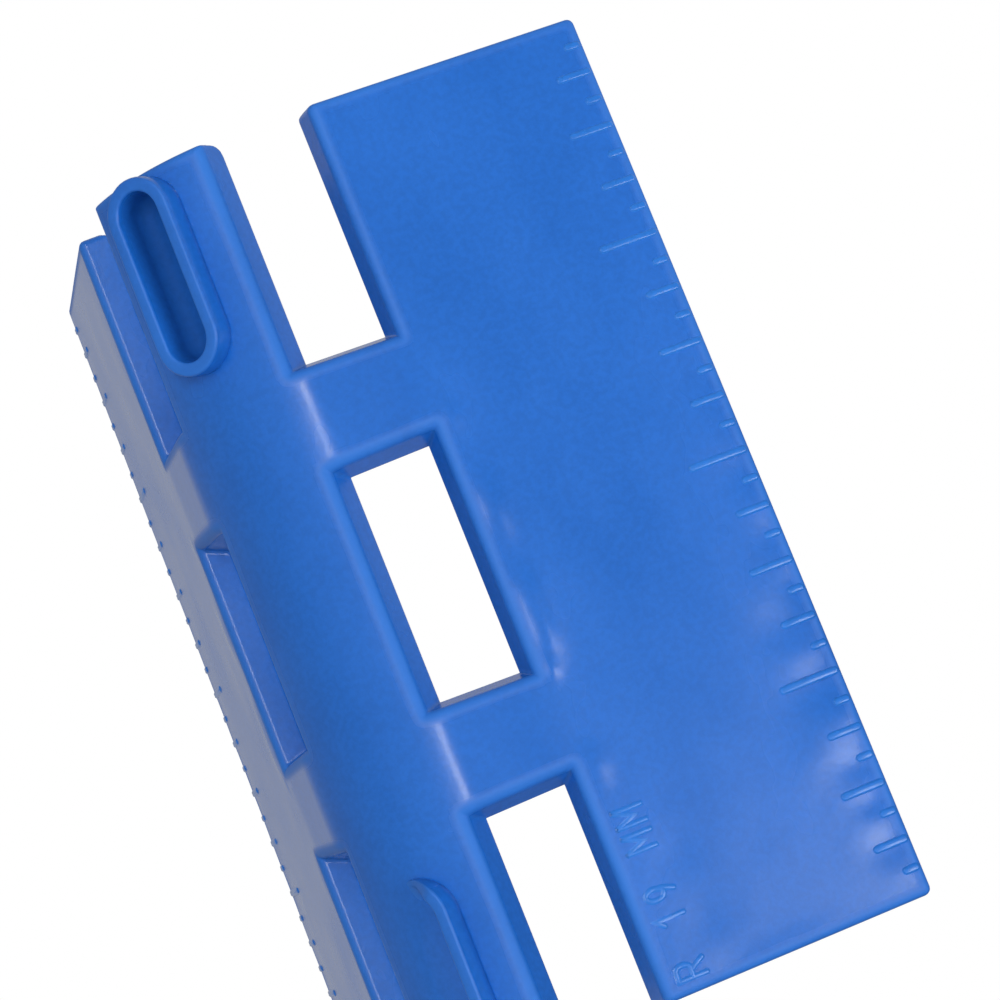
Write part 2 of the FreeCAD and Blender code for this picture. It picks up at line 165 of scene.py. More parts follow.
# Shallow dents and swellings where the plastic shrank: (x, along, half width, half length, height), in
# millimetres. On the left wing they are fainter.
LEFT_RIPPLES = 0.4
WAVE_HEIGHT = 0.012 * MM
RIPPLES = [
    (55.0, 60.4, 2.6, 2.6, -0.22), (55.4, 65.8, 2.2, 2.4, -0.24), (51.4, 70.0, 3.0, 3.0, -0.17),
    (53.0, 76.6, 3.4, 3.0, -0.27), (54.0, 80.6, 2.0, 1.8, 0.08), (53.6, 86.2, 2.6, 2.2, -0.20),
    (53.4, 90.4, 2.0, 1.6, -0.15), (53.4, 95.4, 2.4, 2.2, -0.18), (55.0, 100.0, 2.4, 2.4, -0.10),
    (49.0, 84.0, 3.0, 3.4, 0.08), (53.8, 53.0, 2.4, 2.6, -0.16), (54.0, 42.0, 2.4, 3.0, -0.08),
    (54.0, 28.0, 2.4, 3.0, 0.05), (53.4, 8.0, 3.0, 3.4, -0.06), (27.4, 47.2, 1.4, 3.4, 0.34),
    (27.4, 57.0, 1.4, 2.6, 0.28), (27.4, 61.2, 1.4, 3.0, 0.36), (26.5, 65.2, 0.8, 1.2, 0.18),
    (26.8, 36.8, 1.0, 1.4, 0.14), (27.2, 76.2, 1.2, 2.2, 0.16),
    (31.4, 87.4, 2.4, 2.6, -0.05), (31.4, 95.2, 2.4, 2.8, -0.06), (33.0, 100.6, 3.0, 2.0, -0.08),
    (40.0, 101.2, 5.0, 1.6, 0.07),
]


def relief(side, x, along):
    """How far the wing's outer face stands proud of a true plane."""
    height = np.zeros(np.broadcast(x, along).shape)
    for place_x, place_along, half_width, half_length, size in RIPPLES:
        apart = np.hypot((x - place_x * MM) / half_width, (along - place_along * MM) / half_length) / MM
        height = height + np.where(side > 0, 1.0, LEFT_RIPPLES) * size * MM * np.exp(-apart**2)
    wave = np.sin(along / (7.5 * MM) + x / (11 * MM)) * np.sin(x / (6 * MM) - along / (19 * MM))
    fade_in = smooth((x - WING_START - 0.5 * MM) / (1.0 * MM))
    fade_out = smooth((WING_END - x) / (1.2 * MM))
    return (height + WAVE_HEIGHT * wave) * fade_in * fade_out


def spine_height(reach, depth=0.0):
    """Height of the spine's surface, or of a layer at a depth under it, beside its middle plane."""
    return ARC_CENTRE + np.sqrt((RADIUS - depth)**2 - reach**2)


def bridge_section():
    """The bridges' outer face in section, from the spine's edge to the wing's: shares of its length,
    with the reach and height there, and the length. It bends down close to the spine and then
    runs almost straight, at the slope that brings both ends together."""
    share = np.linspace(0, 1, 201)
    start = np.array([spine_high.x, spine_height(spine_high.x)])
    stop = np.array([WING_START, math.sqrt(2) * APEX - WING_START]) / math.sqrt(2)
    chord = stop - start
    fall = math.atan2(-chord[1], chord[0])
    plate = fall
    for _ in range(20):
        slope = SPINE_ANGLE + (plate - SPINE_ANGLE) * smooth(share / BRIDGE_BEND)
        slope = slope + (QUARTER - plate) * smooth((share - 1 + BRIDGE_SETTLE) / BRIDGE_SETTLE)
        middle = (slope[1:] + slope[:-1]) / 2
        run = np.concatenate([[0], np.cumsum(np.cos(middle))])
        drop = np.concatenate([[0], np.cumsum(np.sin(middle))])
        plate += fall - math.atan2(drop[-1], run[-1])
    scale = np.hypot(*chord) / math.hypot(run[-1], drop[-1])
    return share, start[0] + run * scale, start[1] - drop * scale, scale * (len(share) - 1)


SHARES, BRIDGE_REACH, BRIDGE_HEIGHT, BRIDGE_SPAN = bridge_section()

# Places measured across the outer face

SPINE_ACROSS = RADIUS * SPINE_ANGLE
START_ACROSS = SPINE_ACROSS + BRIDGE_SPAN
END_ACROSS = START_ACROSS + WING_END - WING_START


def section(width, depth, side_lean=SIDE_LEAN):
    """Reach from the middle plane and height of points across the sheet, at a depth under its face."""
    spine_reach = RADIUS * np.sin(np.minimum(width, SPINE_ACROSS) / RADIUS)
    spine_top = spine_height(spine_reach, depth)
    share = np.clip((width - SPINE_ACROSS) / BRIDGE_SPAN, 0, 1)
    sunk = depth / THICKNESS
    inner_x = WING_START - side_lean
    inner_reach = (1 - share) * spine_high.x + share * (inner_x - THICKNESS) / math.sqrt(2)
    inner_top = (1 - share) * spine_height(spine_high.x, THICKNESS)
    inner_top = inner_top + share * (APEX - (inner_x + THICKNESS) / math.sqrt(2))
    bridge_reach = np.interp(share, SHARES, BRIDGE_REACH) * (1 - sunk) + inner_reach * sunk
    bridge_top = np.interp(share, SHARES, BRIDGE_HEIGHT) * (1 - sunk) + inner_top * sunk
    x = WING_START + width - START_ACROSS
    x = x - side_lean * depth / THICKNESS * near(width - START_ACROSS)
    zones = [width <= SPINE_ACROSS, width < START_ACROSS]
    reach = np.select(zones, [spine_reach, bridge_reach], (x - depth) / math.sqrt(2))
    height = np.select(zones, [spine_top, bridge_top], APEX - (x + depth) / math.sqrt(2))
    return reach, height


def wall_shift(across, along, depth):
    """How far the bridges' leaning end walls carry the points near them along the corner."""
    width = np.abs(across)
    reach, height = section(np.maximum(width, SPINE_ACROSS), depth)
    out = (reach + height - APEX) / math.sqrt(2)
    shift = np.zeros(along.shape)
    for wall, lean, left_drift, right_drift in BRIDGE_WALLS.values():
        drift = np.where(across > 0, right_drift, left_drift)
        shift = shift + near(along - wall) * (drift + lean * (out + THICKNESS) / THICKNESS)
    return shift * smooth(width / SPINE_ACROSS)


def place(across, along, depth):
    """Points on or under the outer face, in the row frame. All three are arrays of one shape."""
    side = np.where(across < 0, -1, 1)
    width = np.abs(across)
    x = WING_START + width - START_ACROSS
    rise = np.where(x > WING_START, relief(side, x, along), 0) * (1 - smooth(depth / THICKNESS * 2))
    reach, height = section(width, depth - rise, np.where(side > 0, SIDE_LEAN, LEFT_LEAN))
    spread = np.where(side > 0, 0, np.maximum(x - RADIUS, 0) * math.tan(LEFT_SPREAD) * along / LENGTH)
    reach = reach + spread * math.sin(QUARTER)
    height = height + spread * math.cos(QUARTER)
    return np.stack([side * reach, HALF_LENGTH - along, height], axis=-1)


# The grid's lines: close together beside each wall, where an edge is rounded, and even elsewhere

ROUND_ANGLES = [math.radians(angle) for angle in (0, 22.5, 45, 67.5, 90)]
ROUND_OFFSETS = [EDGE_ROUND * (1 - math.cos(angle)) for angle in ROUND_ANGLES]
ROUND_OFFSETS += [WING_END_ROUND, END_LINE, SPINE_END_ROUND]


def grid_lines(walls, plain=()):
    """Lines for walls given as (place, side that the plastic is on), and for plain places."""
    keys = list(plain)
    for wall, inward in walls:
        keys += [wall + inward * offset for offset in ROUND_OFFSETS]
    keys = sorted(set(round(key, 9) for key in keys))
    lines = [keys[0]]
    for start, stop in zip(keys, keys[1:]):
        count = max(1, math.ceil((stop - start) / PITCH))
        lines += list(np.linspace(start, stop, count + 1)[1:])
    return np.array(lines)


right_lines = grid_lines([(SPINE_ACROSS, -1), (START_ACROSS, 1), (END_ACROSS, -1)], [0])
ACROSS = np.concatenate([-right_lines[:0:-1], right_lines])
ALONG = grid_lines([
    (0, 1), (FIRST_TOP, 1), (FIRST_BOTTOM, -1), (SECOND_TOP, 1), (SECOND_BOTTOM, -1), (LENGTH, -1)
])
GRID_ACROSS, GRID_ALONG = np.meshgrid(ACROSS, ALONG, indexing="ij")
GRID_WIDTH = np.abs(GRID_ACROSS)


def window_distance(top, bottom):
    """Distance from every grid point to a window between two places along the corner."""
    beside = np.maximum(np.maximum(SPINE_ACROSS - GRID_WIDTH, GRID_WIDTH - START_ACROSS), 0)
    beyond = np.maximum(np.maximum(top - GRID_ALONG, GRID_ALONG - bottom), 0)
    return np.hypot(beside, beyond)


WINDOWS = [(-LENGTH, FIRST_TOP), (FIRST_BOTTOM, SECOND_TOP), (SECOND_BOTTOM, 2 * LENGTH)]
to_window = np.minimum.reduce([window_distance(*window) for window in WINDOWS])
to_wing_end = np.maximum(END_ACROSS - GRID_WIDTH, 0)
to_end = np.minimum(GRID_ALONG, LENGTH - GRID_ALONG)

to_edge = np.minimum.reduce([to_window, to_wing_end, to_end])
outer_depth = edge_drop(to_edge, EDGE_ROUND)
# Along the rounded edges the plastic is paler, a painted sheen, and rougher, as wear.
EDGE_SHEEN_AND_WEAR = 1 - smooth((to_edge - EDGE_ROUND / 2) / (EDGE_ROUND * 1.5))
EDGE_SHEEN_AND_WEAR = EDGE_SHEEN_AND_WEAR * (1 - smooth(outer_depth / EDGE_ROUND * 2 - 1))
inner_drop = edge_drop(np.minimum(to_window, to_wing_end), INNER_ROUND)
inner_drop = np.maximum(inner_drop, edge_drop(to_end, np.where(
    GRID_WIDTH <= SPINE_ACROSS, SPINE_END_ROUND, WING_END_ROUND)))
inner_depth = THICKNESS - inner_drop


def round_corner(across, along, corner_across, corner_along, radius):
    """Draws the grid points near a square corner of the plan onto round arcs."""
    inward_across = -1 if corner_across in (SPINE_ACROSS, END_ACROSS) else 1
    inward_along = 1 if corner_along == 0 else -1
    width = np.abs(across)
    u = radius - inward_across * (width - corner_across)
    v = radius - inward_along * (along - corner_along)
    inside = (u > 0) & (v > 0) & (u <= radius * 1.001) & (v <= radius * 1.001)
    scale = np.where(inside, np.maximum(u, v) / np.maximum(np.hypot(u, v), 1e-12), 1)
    new_width = corner_across + inward_across * (radius - u * scale)
    new_along = corner_along + inward_along * (radius - v * scale)
    side = np.where(across < 0, -1, 1)
    return np.where(inside, side * new_width, across), np.where(inside, new_along, along)


plan_across, plan_along = GRID_ACROSS, GRID_ALONG
for corner_across, corner_round in [
    (SPINE_ACROSS, SPINE_CORNER_ROUND), (START_ACROSS, WING_CORNER_ROUND), (END_ACROSS, WING_CORNER_ROUND)
]:
    for corner_along in (0, LENGTH):
        plan_across, plan_along = round_corner(
            plan_across, plan_along, corner_across, corner_along, corner_round)


# Collars: where each stands, and the room that its cup takes in the spine

def collar_size(node, upper_growth, lower_growth):
    """Middle and half length of a collar along Y, from its node, with this moulding's own growth."""
    low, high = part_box(node)
    top, bottom = high.y + upper_growth, low.y - lower_growth
    return (top + bottom) / 2, (top - bottom) / 2


COLLARS = {
    "upper": collar_size("upper_slot_collar", 0, 0.8 * MM),
    "lower": collar_size("lower_slot_collar", -0.45 * MM, 0),
}


def scoop(reach, from_end):
    """Depth of the lower collar's open pocket, which slopes down from the left and from its ends."""
    across = smooth((reach + SCOOP_EDGE) / SCOOP_SLOPE)
    return SCOOP_DEPTH * across * smooth((from_end - SCOOP_END) / SCOOP_END_SLOPE)


def sink_pockets(depth):
    """Sinks the outer layer under the upper cup and inside the lower rim."""
    reach = RADIUS * np.sin(np.clip(GRID_ACROSS, -SPINE_ACROSS, SPINE_ACROSS) / RADIUS)
    y = HALF_LENGTH - GRID_ALONG
    room = (COLLAR_WIDTH - COLLAR_WALL) / 2
    bed = {
        "upper": CROWN - POCKET_BED - POCKET_FLOOR - CUP_CLEARANCE,
        "lower": spine_height(reach) - scoop(reach, COLLARS["lower"][1] - np.abs(y - COLLARS["lower"][0])),
    }
    for end, (middle, half) in COLLARS.items():
        past = np.maximum(np.abs(y - middle) - (half - COLLAR_WIDTH / 2), 0)
        inside = (np.hypot(reach, past) < room) & (GRID_WIDTH < SPINE_ACROSS)
        depth = np.where(inside, RADIUS - np.hypot(reach, bed[end] - ARC_CENTRE), depth)
    return depth


outer_depth = sink_pockets(outer_depth)
LAYER_DEPTHS = [outer_depth, outer_depth + WALL_ROW, inner_depth - WALL_ROW, inner_depth]
LAYERS = [place(plan_across, plan_along + wall_shift(plan_across, plan_along, depth), depth)
          for depth in LAYER_DEPTHS]
OUTER, INNER = 0, 3


# Regions of the sheet

middle_across = (ACROSS[1:] + ACROSS[:-1]) / 2
middle_along = (ALONG[1:] + ALONG[:-1]) / 2
CELL_ACROSS, CELL_ALONG = np.meshgrid(middle_across, middle_along, indexing="ij")
CELL_WIDTH = np.abs(CELL_ACROSS)
on_spine = CELL_WIDTH < SPINE_ACROSS
on_wing = CELL_WIDTH > START_ACROSS
between = ~on_spine & ~on_wing
first_bridge = between & (CELL_ALONG > FIRST_TOP) & (CELL_ALONG < FIRST_BOTTOM)
second_bridge = between & (CELL_ALONG > SECOND_TOP) & (CELL_ALONG < SECOND_BOTTOM)
on_right = CELL_ACROSS > 0

REGIONS = {
    "spine_shell": ("corner_spine", on_spine),
    "right_wing_plate": ("right_wing", on_wing & on_right),
    "left_wing_plate": ("left_wing", on_wing & ~on_right),
    "right_upper_bridge_web": ("right_upper_bridge", first_bridge & on_right),
    "right_lower_bridge_web": ("right_lower_bridge", second_bridge & on_right),
    "left_upper_bridge_web": ("left_upper_bridge", first_bridge & ~on_right),
    "left_lower_bridge_web": ("left_lower_bridge", second_bridge & ~on_right),
}
ALL_CELLS = on_spine | on_wing | first_bridge | second_bridge


def store_wear_and_painted_light(mesh, values):
    """Stores for every vertex how far the plastic is paler there (a painted sheen) and rougher (wear), or
    below 0 how far it is darker (painted shade).
    """
    layer = mesh.attributes.new("wear_and_painted_light", "FLOAT", "POINT")
    layer.data.foreach_set("value", [float(value) for value in values])


def sheet_mesh(name, cells):
    """A closed mesh of some of the grid's cells, with the grid point of every vertex and which of
    its faces are seams, where the sheet runs on into the next region."""
    index = {}
    faces = []
    seams = []

    def vertex(layer, point):
        return index.setdefault((layer, *point), len(index))

    def filled(mask, i, j):
        return 0 <= i < mask.shape[0] and 0 <= j < mask.shape[1] and mask[i, j]

    for i, j in zip(*np.nonzero(cells)):
        ring = [(i, j), (i, j + 1), (i + 1, j + 1), (i + 1, j)]
        neighbours = [(i - 1, j), (i, j + 1), (i + 1, j), (i, j - 1)]
        faces.append([vertex(OUTER, point) for point in ring])
        faces.append([vertex(INNER, point) for point in reversed(ring)])
        seams += [False, False]
        for edge, neighbour in enumerate(neighbours):
            if filled(cells, *neighbour):
                continue
            start, stop = ring[edge], ring[(edge + 1) % 4]
            for layer in range(INNER):
                faces.append([vertex(layer, stop), vertex(layer, start),
                              vertex(layer + 1, start), vertex(layer + 1, stop)])
                seams.append(filled(ALL_CELLS, *neighbour))
    points = [LAYERS[layer][i, j] for layer, i, j in index]
    mesh = bpy.data.meshes.new(name)
    mesh.from_pydata(points, [], faces)
    mesh.polygons.foreach_set("use_smooth", [True] * len(faces))
    # The outer face carries the painted edge sheen and the wear; the inner face none.
    store_wear_and_painted_light(mesh, [EDGE_SHEEN_AND_WEAR[i, j] if layer == OUTER else 0 for layer, i, j in index])
    return mesh, index, seams


def finish_piece(mesh, material, nodes):
    """Links a mesh as a piece that rides on the gauge and stands for some of its CAD nodes."""
    piece = bpy.data.objects.new(mesh.name, mesh)
    bpy.context.scene.collection.objects.link(piece)
    mesh.materials.append(material)
    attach(piece, BODY)
    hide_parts(*nodes)


def build_sheet(material):
    """Every region as a piece of its own, shaded with the whole sheet's normals."""
    whole, whole_index, _ = sheet_mesh("whole_sheet", ALL_CELLS)
    normals = {key: whole.vertices[number].normal.copy() for key, number in whole_index.items()}
    bpy.data.meshes.remove(whole)
    for name, (node, cells) in REGIONS.items():
        mesh, index, seams = sheet_mesh(name, cells)
        by_number = {number: normals.get(key) for key, number in index.items()}
        loop_normals = []
        for polygon, seam in zip(mesh.polygons, seams):
            for number in polygon.vertices:
                loop_normals.append(polygon.normal if seam else by_number[number])
        mesh.normals_split_custom_set(loop_normals)
        finish_piece(mesh, material, [node])


# Collars: a cup with a raised rim, let into the spine

def obround(half_width, reach, end_count=20, side_count=24):
    """A round-ended outline about the origin, long along Y."""
    points = []
    for turn, end in ((0, 1), (math.pi, -1)):
        for step in range(end_count):
            angle = turn + math.pi * step / end_count
            points.append((half_width * math.cos(angle), end * reach + half_width * math.sin(angle)))
        for step in range(side_count):
            slide = end * reach * (1 - 2 * step / side_count)
            points.append((-end * half_width, slide))
    return points


def quarter_turn(steps=4):
    """Even angles from 0 to a right angle."""
    return [math.pi / 2 * step / steps for step in range(steps + 1)]


def cup_profile():
    """Rings of a cup from its foot over the rim to the pocket's round bottom: (half width, height
    above the crown)."""
    outer = COLLAR_WIDTH / 2
    inner = outer - COLLAR_WALL
    floor = -POCKET_BED
    under = outer - COLLAR_WALL / 2 - POCKET_DRAFT
    rings = [(under, floor - POCKET_FLOOR), (under, floor / 2), (outer, floor / 2)]
    rings += [(outer, RIM_HEIGHT * share - COLLAR_ROUND) for share in (0.3, 0.6, 0.9)]
    for angle in quarter_turn():
        rings.append((outer - COLLAR_DRAFT - COLLAR_ROUND * (1 - math.cos(angle)),
                      RIM_HEIGHT - COLLAR_ROUND * (1 - math.sin(angle))))
    rings.append(((outer + inner) / 2, RIM_HEIGHT + RIM_BULGE))
    for angle in quarter_turn():
        rings.append((inner + COLLAR_ROUND * (1 - math.sin(angle)),
                      RIM_HEIGHT - COLLAR_ROUND * (1 - math.cos(angle))))
    wall = inner - POCKET_DRAFT
    rings += [(wall, RIM_HEIGHT - (POCKET_DEPTH - POCKET_ROUND) * share) for share in (0.35, 0.7, 1.0)]
    for angle in quarter_turn(8)[1:]:
        rings.append((wall - POCKET_ROUND * (1 - math.cos(angle)),
                      floor + POCKET_ROUND * (1 - math.sin(angle))))
    return rings


def rim_sheen_and_wear(height):
    """How far a collar is paler (a painted sheen) and rougher (wear) at a height above the crown: most along
    the top of its rim.
    """
    return 0.7 * float(near(height - RIM_HEIGHT, 0.3 * MM, 0.03 * MM))


def from_middle_line(point, middle, reach):
    """Distance of a point from a collar's middle line, in plan."""
    return math.hypot(point[0], max(abs(point[1] - middle) - reach, 0))


def build_cup(material):
    """The upper collar: a rim all round a pocket with a round bottom."""
    middle, half = COLLARS["upper"]
    reach = half - COLLAR_WIDTH / 2
    rings = cup_profile()
    points = [(u, middle + v, CROWN + height)
              for half_width, height in rings for u, v in obround(half_width, reach)]
    count = len(points) // len(rings)
    faces = [list(range(count))[::-1]]
    for ring in range(len(rings) - 1):
        for step in range(count):
            after = (step + 1) % count
            faces.append([ring * count + step, ring * count + after,
                          (ring + 1) * count + after, (ring + 1) * count + step])
    faces.append([(len(rings) - 1) * count + step for step in range(count)])
    mesh = bpy.data.meshes.new("upper_collar_cup")
    mesh.from_pydata(points, [], faces)
    mesh.polygons.foreach_set("use_smooth", [True] * len(faces))
    # Inside the pocket the values go below 0 towards its bottom: painted shade.
    rim = [rim_sheen_and_wear(point[2] - CROWN) for point in points]
    inside = [from_middle_line(point, middle, reach) < COLLAR_WIDTH / 2 - COLLAR_WALL for point in points]
    down = [float(smooth((CROWN + RIM_HEIGHT - point[2]) / POCKET_DEPTH)) for point in points]
    store_wear_and_painted_light(mesh, [top - hole * deep for top, hole, deep in zip(rim, inside, down)])
    finish_piece(mesh, material, ["upper_slot_collar"])


def half_rim_stations():
    """Places along the lower rim: (centre of its bend, direction, how far it has risen)."""
    middle, half = COLLARS["lower"]
    reach = half - COLLAR_WIDTH / 2
    angles = [RIM_TIP * (1 - step / RIM_STEPS) for step in range(RIM_STEPS + 1)]
    upper = [(middle + reach, angle, smooth((RIM_TIP - angle) / RIM_RAMP)) for angle in angles]
    straight = [(middle + reach * (1 - 2 * step / RIM_STEPS), 0.0, 1.0) for step in range(1, RIM_STEPS)]
    lower = [(middle - reach, -angle, risen) for _, angle, risen in reversed(upper)]
    return upper + straight + lower


def half_rim_section():
    """The lower rim in section: (distance inward from its outer wall, height above the crown, share of
    the skirt)."""
    deep = -SCOOP_DEPTH - RIM_FOOT
    section_points = [(COLLAR_WALL, deep, 1), (2 * COLLAR_DRAFT, deep, 0), (0.0, RIM_HEIGHT / 4, 0)]
    for angle in quarter_turn():
        section_points.append((COLLAR_DRAFT + COLLAR_ROUND * (1 - math.cos(angle)),
                               RIM_HEIGHT - COLLAR_ROUND * (1 - math.sin(angle)), 0))
    for angle in quarter_turn():
        section_points.append((COLLAR_WALL - COLLAR_ROUND * (1 - math.sin(angle)),
                               RIM_HEIGHT - COLLAR_ROUND * (1 - math.cos(angle)), 0))
    for share in (0.2, 0.4, 0.6, 0.8, 1.0):
        section_points.append((COLLAR_WALL, (RIM_HEIGHT - COLLAR_ROUND) * float(smooth(1 - share)), share))
    return section_points


def build_half_rim(material):
    """The lower collar: a rim on the right only, whose two tips sink into the spine."""
    profile = half_rim_section()
    points = []
    wear_and_painted_light = []
    for centre, angle, risen in half_rim_stations():
        for inward, height, share in profile:
            width = inward * (TIP_WIDTH + (1 - TIP_WIDTH) * risen)
            radius = COLLAR_WIDTH / 2 - width - SKIRT * share * (1 - risen)
            u = radius * math.cos(angle)
            ground = float(spine_height(u)) - RIM_BED
            sunk = TIP_SINK * (1 - risen)**6
            z = CROWN + height if height < 0 else ground - sunk + (CROWN + height - ground) * risen
            points.append((u, centre + radius * math.sin(angle), z))
            # Paler and rougher along the rim's top, a painted sheen with wear, and towards its sunken tips.
            wear_and_painted_light.append(max(rim_sheen_and_wear(height), 1 - risen))
    count = len(profile)
    rows = len(points) // count
    faces = [list(reversed(range(count))), [(rows - 1) * count + step for step in range(count)]]
    for row in range(rows - 1):
        for step in range(count):
            after = (step + 1) % count
            faces.append([row * count + step, row * count + after,
                          (row + 1) * count + after, (row + 1) * count + step])
    mesh = bpy.data.meshes.new("lower_collar_rim")
    mesh.from_pydata(points, [], faces)
    mesh.polygons.foreach_set("use_smooth", [True] * len(faces))
    store_wear_and_painted_light(mesh, wear_and_painted_light)
    finish_piece(mesh, material, ["lower_slot_collar"])


# Raised marks: ribs with round ends, soft shoulders and flat tops

def offset_outline(path, radius, cap_steps=8):
    """A closed outline at a distance from a path of two or more points."""
    path = [Vector(point) for point in path]
    directions = [(b - a).normalized() for a, b in zip(path, path[1:])]
    left_side, right_side = [], []
    for number, point in enumerate(path):
        before = directions[max(number - 1, 0)]
        after = directions[min(number, len(directions) - 1)]
        tangent = (before + after).normalized()
        normal = Vector((-tangent.y, tangent.x)) * radius / max(tangent.dot(after), 0.5)
        left_side.append(point + normal)
        right_side.append(point - normal)

    def cap(centre, direction):
        start = math.atan2(direction.y, direction.x) + math.pi / 2
        angles = [start - math.pi * step / cap_steps for step in range(1, cap_steps)]
        return [centre + radius * Vector((math.cos(angle), math.sin(angle))) for angle in angles]

    return left_side + cap(path[-1], directions[-1]) + right_side[::-1] + cap(path[0], -directions[0])


def rib_profile(height):
    """Rings of a rib from its foot to its top, a soft swell: (offset from its side, height)."""
    rings = [(RIB_SPREAD + 0.02 * MM, -RIB_FOOT)]
    for share in (0.0, 0.25, 0.5, 0.75, 1.0):
        rings.append((RIB_SPREAD - RIB_DRAW * share, height * float(smooth(share))))
    return rings


def wing_points(side, points, height):
    """Points of a wing's outer face, at (x, along), lifted by a height."""
    x = np.array([point[0] for point in points])
    along = np.array([point[1] for point in points])
    drop = edge_drop(np.maximum(WING_END - x, 0), EDGE_ROUND)
    across = side * (START_ACROSS + np.minimum(x, WING_END) - WING_START)
    return place(across, along, drop - height)


def add_ribs(name, side, paths, width, height, material, node):
    """One piece of many ribs on a wing's outer face."""
    points, faces = [], []
    for path in paths:
        first = len(points)
        rings = [offset_outline(path, width / 2 + offset) for offset, _ in rib_profile(height)]
        for ring, (_, lift) in zip(rings, rib_profile(height)):
            points += list(wing_points(side, ring, lift))
        count = len(rings[0])
        numbers = [[first + ring * count + step for step in range(count)] for ring in range(len(rings))]
        flip = -side
        faces.append(numbers[0][::flip])
        for lower, upper in zip(numbers, numbers[1:]):
            for step in range(count):
                after = (step + 1) % count
                faces.append([lower[after], lower[step], upper[step], upper[after]][::flip])
        faces.append(numbers[-1][::-flip])
    mesh = bpy.data.meshes.new(name)
    mesh.from_pydata([tuple(point) for point in points], [], faces)
    mesh.polygons.foreach_set("use_smooth", [True] * len(faces))
    finish_piece(mesh, material, [node])


def tick_paths():
    """One path across the wing for every eighth of an inch between the two ends."""
    paths = []
    count = round(LENGTH / TICK_PITCH)
    for number in range(1, count):
        length = next(size for step, size in TICK_LENGTHS.items() if number % step == 0)
        inner = WING_END - EDGE_ROUND - length + TICK_WIDTH / 2
        outer = WING_END - EDGE_ROUND
        paths.append([(inner, number * TICK_PITCH), (outer, number * TICK_PITCH)])
    return paths


def bow(centre, radius, start, stop, steps=14):
    """Points along an arc between two angles in degrees."""
    angles = [math.radians(start + (stop - start) * step / steps) for step in range(steps + 1)]
    return [(centre[0] + radius * math.cos(angle), centre[1] + radius * math.sin(angle)) for angle in angles]


# Letters as strokes, one unit high from their foot

GLYPHS = {
    "R": [[(0, 0), (0, 1), (0.55, 1), *bow((0.55, 0.74), 0.26, 90, -90)[1:-1], (0.55, 0.48), (0, 0.48)],
          [(0.42, 0.48), (0.85, 0)]],
    "1": [[(0.15, 0.75), (0.5, 1), (0.5, 0)]],
    "9": [bow((0.42, 0.68), 0.32, 0, 350), [(0.74, 0.68), (0.68, 0.34), (0.45, 0)]],
    "M": [[(0, 0), (0, 1)], [(0, 1), (0.45, 0.35), (0.9, 1)], [(0.9, 1), (0.9, 0)]],
}


def mark_paths():
    """The strokes of the generic size mark, as places on the right wing."""
    paths = []
    for cell, letter in enumerate(MARK):
        for stroke in GLYPHS.get(letter, []):
            start = MARK_START - cell * LETTER_PITCH
            paths.append([(MARK_FOOT - y * LETTER_HEIGHT, start - x * LETTER_WIDTH) for x, y in stroke])
    return paths


# Materials

WEAR_ROUGHNESS = 0.4                # added to the roughness where the plastic is marked most
# The darker pocket bottom is painted shade.
POCKET_SHADE = 0.32                 # share of the colour lost at the pocket's bottom


def node_tools(material):
    """Clears a material and returns two functions: one adds a node, one wires two nodes."""
    tree = material.node_tree
    tree.nodes.clear()

    def add(kind, **settings):
        node = tree.nodes.new(kind)
        for key, value in settings.items():
            if key in node.inputs.keys():
                node.inputs[key].default_value = value
            else:
                setattr(node, key, value)
        return node

    def wire(source, output, target, entry):
        tree.links.new(source.outputs[output], target.inputs[entry])

    return add, wire


def ramp(add, wire, source, output, stops):
    """A colour ramp of (place, grey or colour) fed by a node's output."""
    node = add("ShaderNodeValToRGB")
    for number, (position, colour) in enumerate(stops):
        if number > 1:
            node.color_ramp.elements.new(position)
        element = node.color_ramp.elements[number]
        element.position = position
        element.color = (*colour, 1) if isinstance(colour, tuple) else (colour, colour, colour, 1)
    wire(source, output, node, "Fac")
    return node


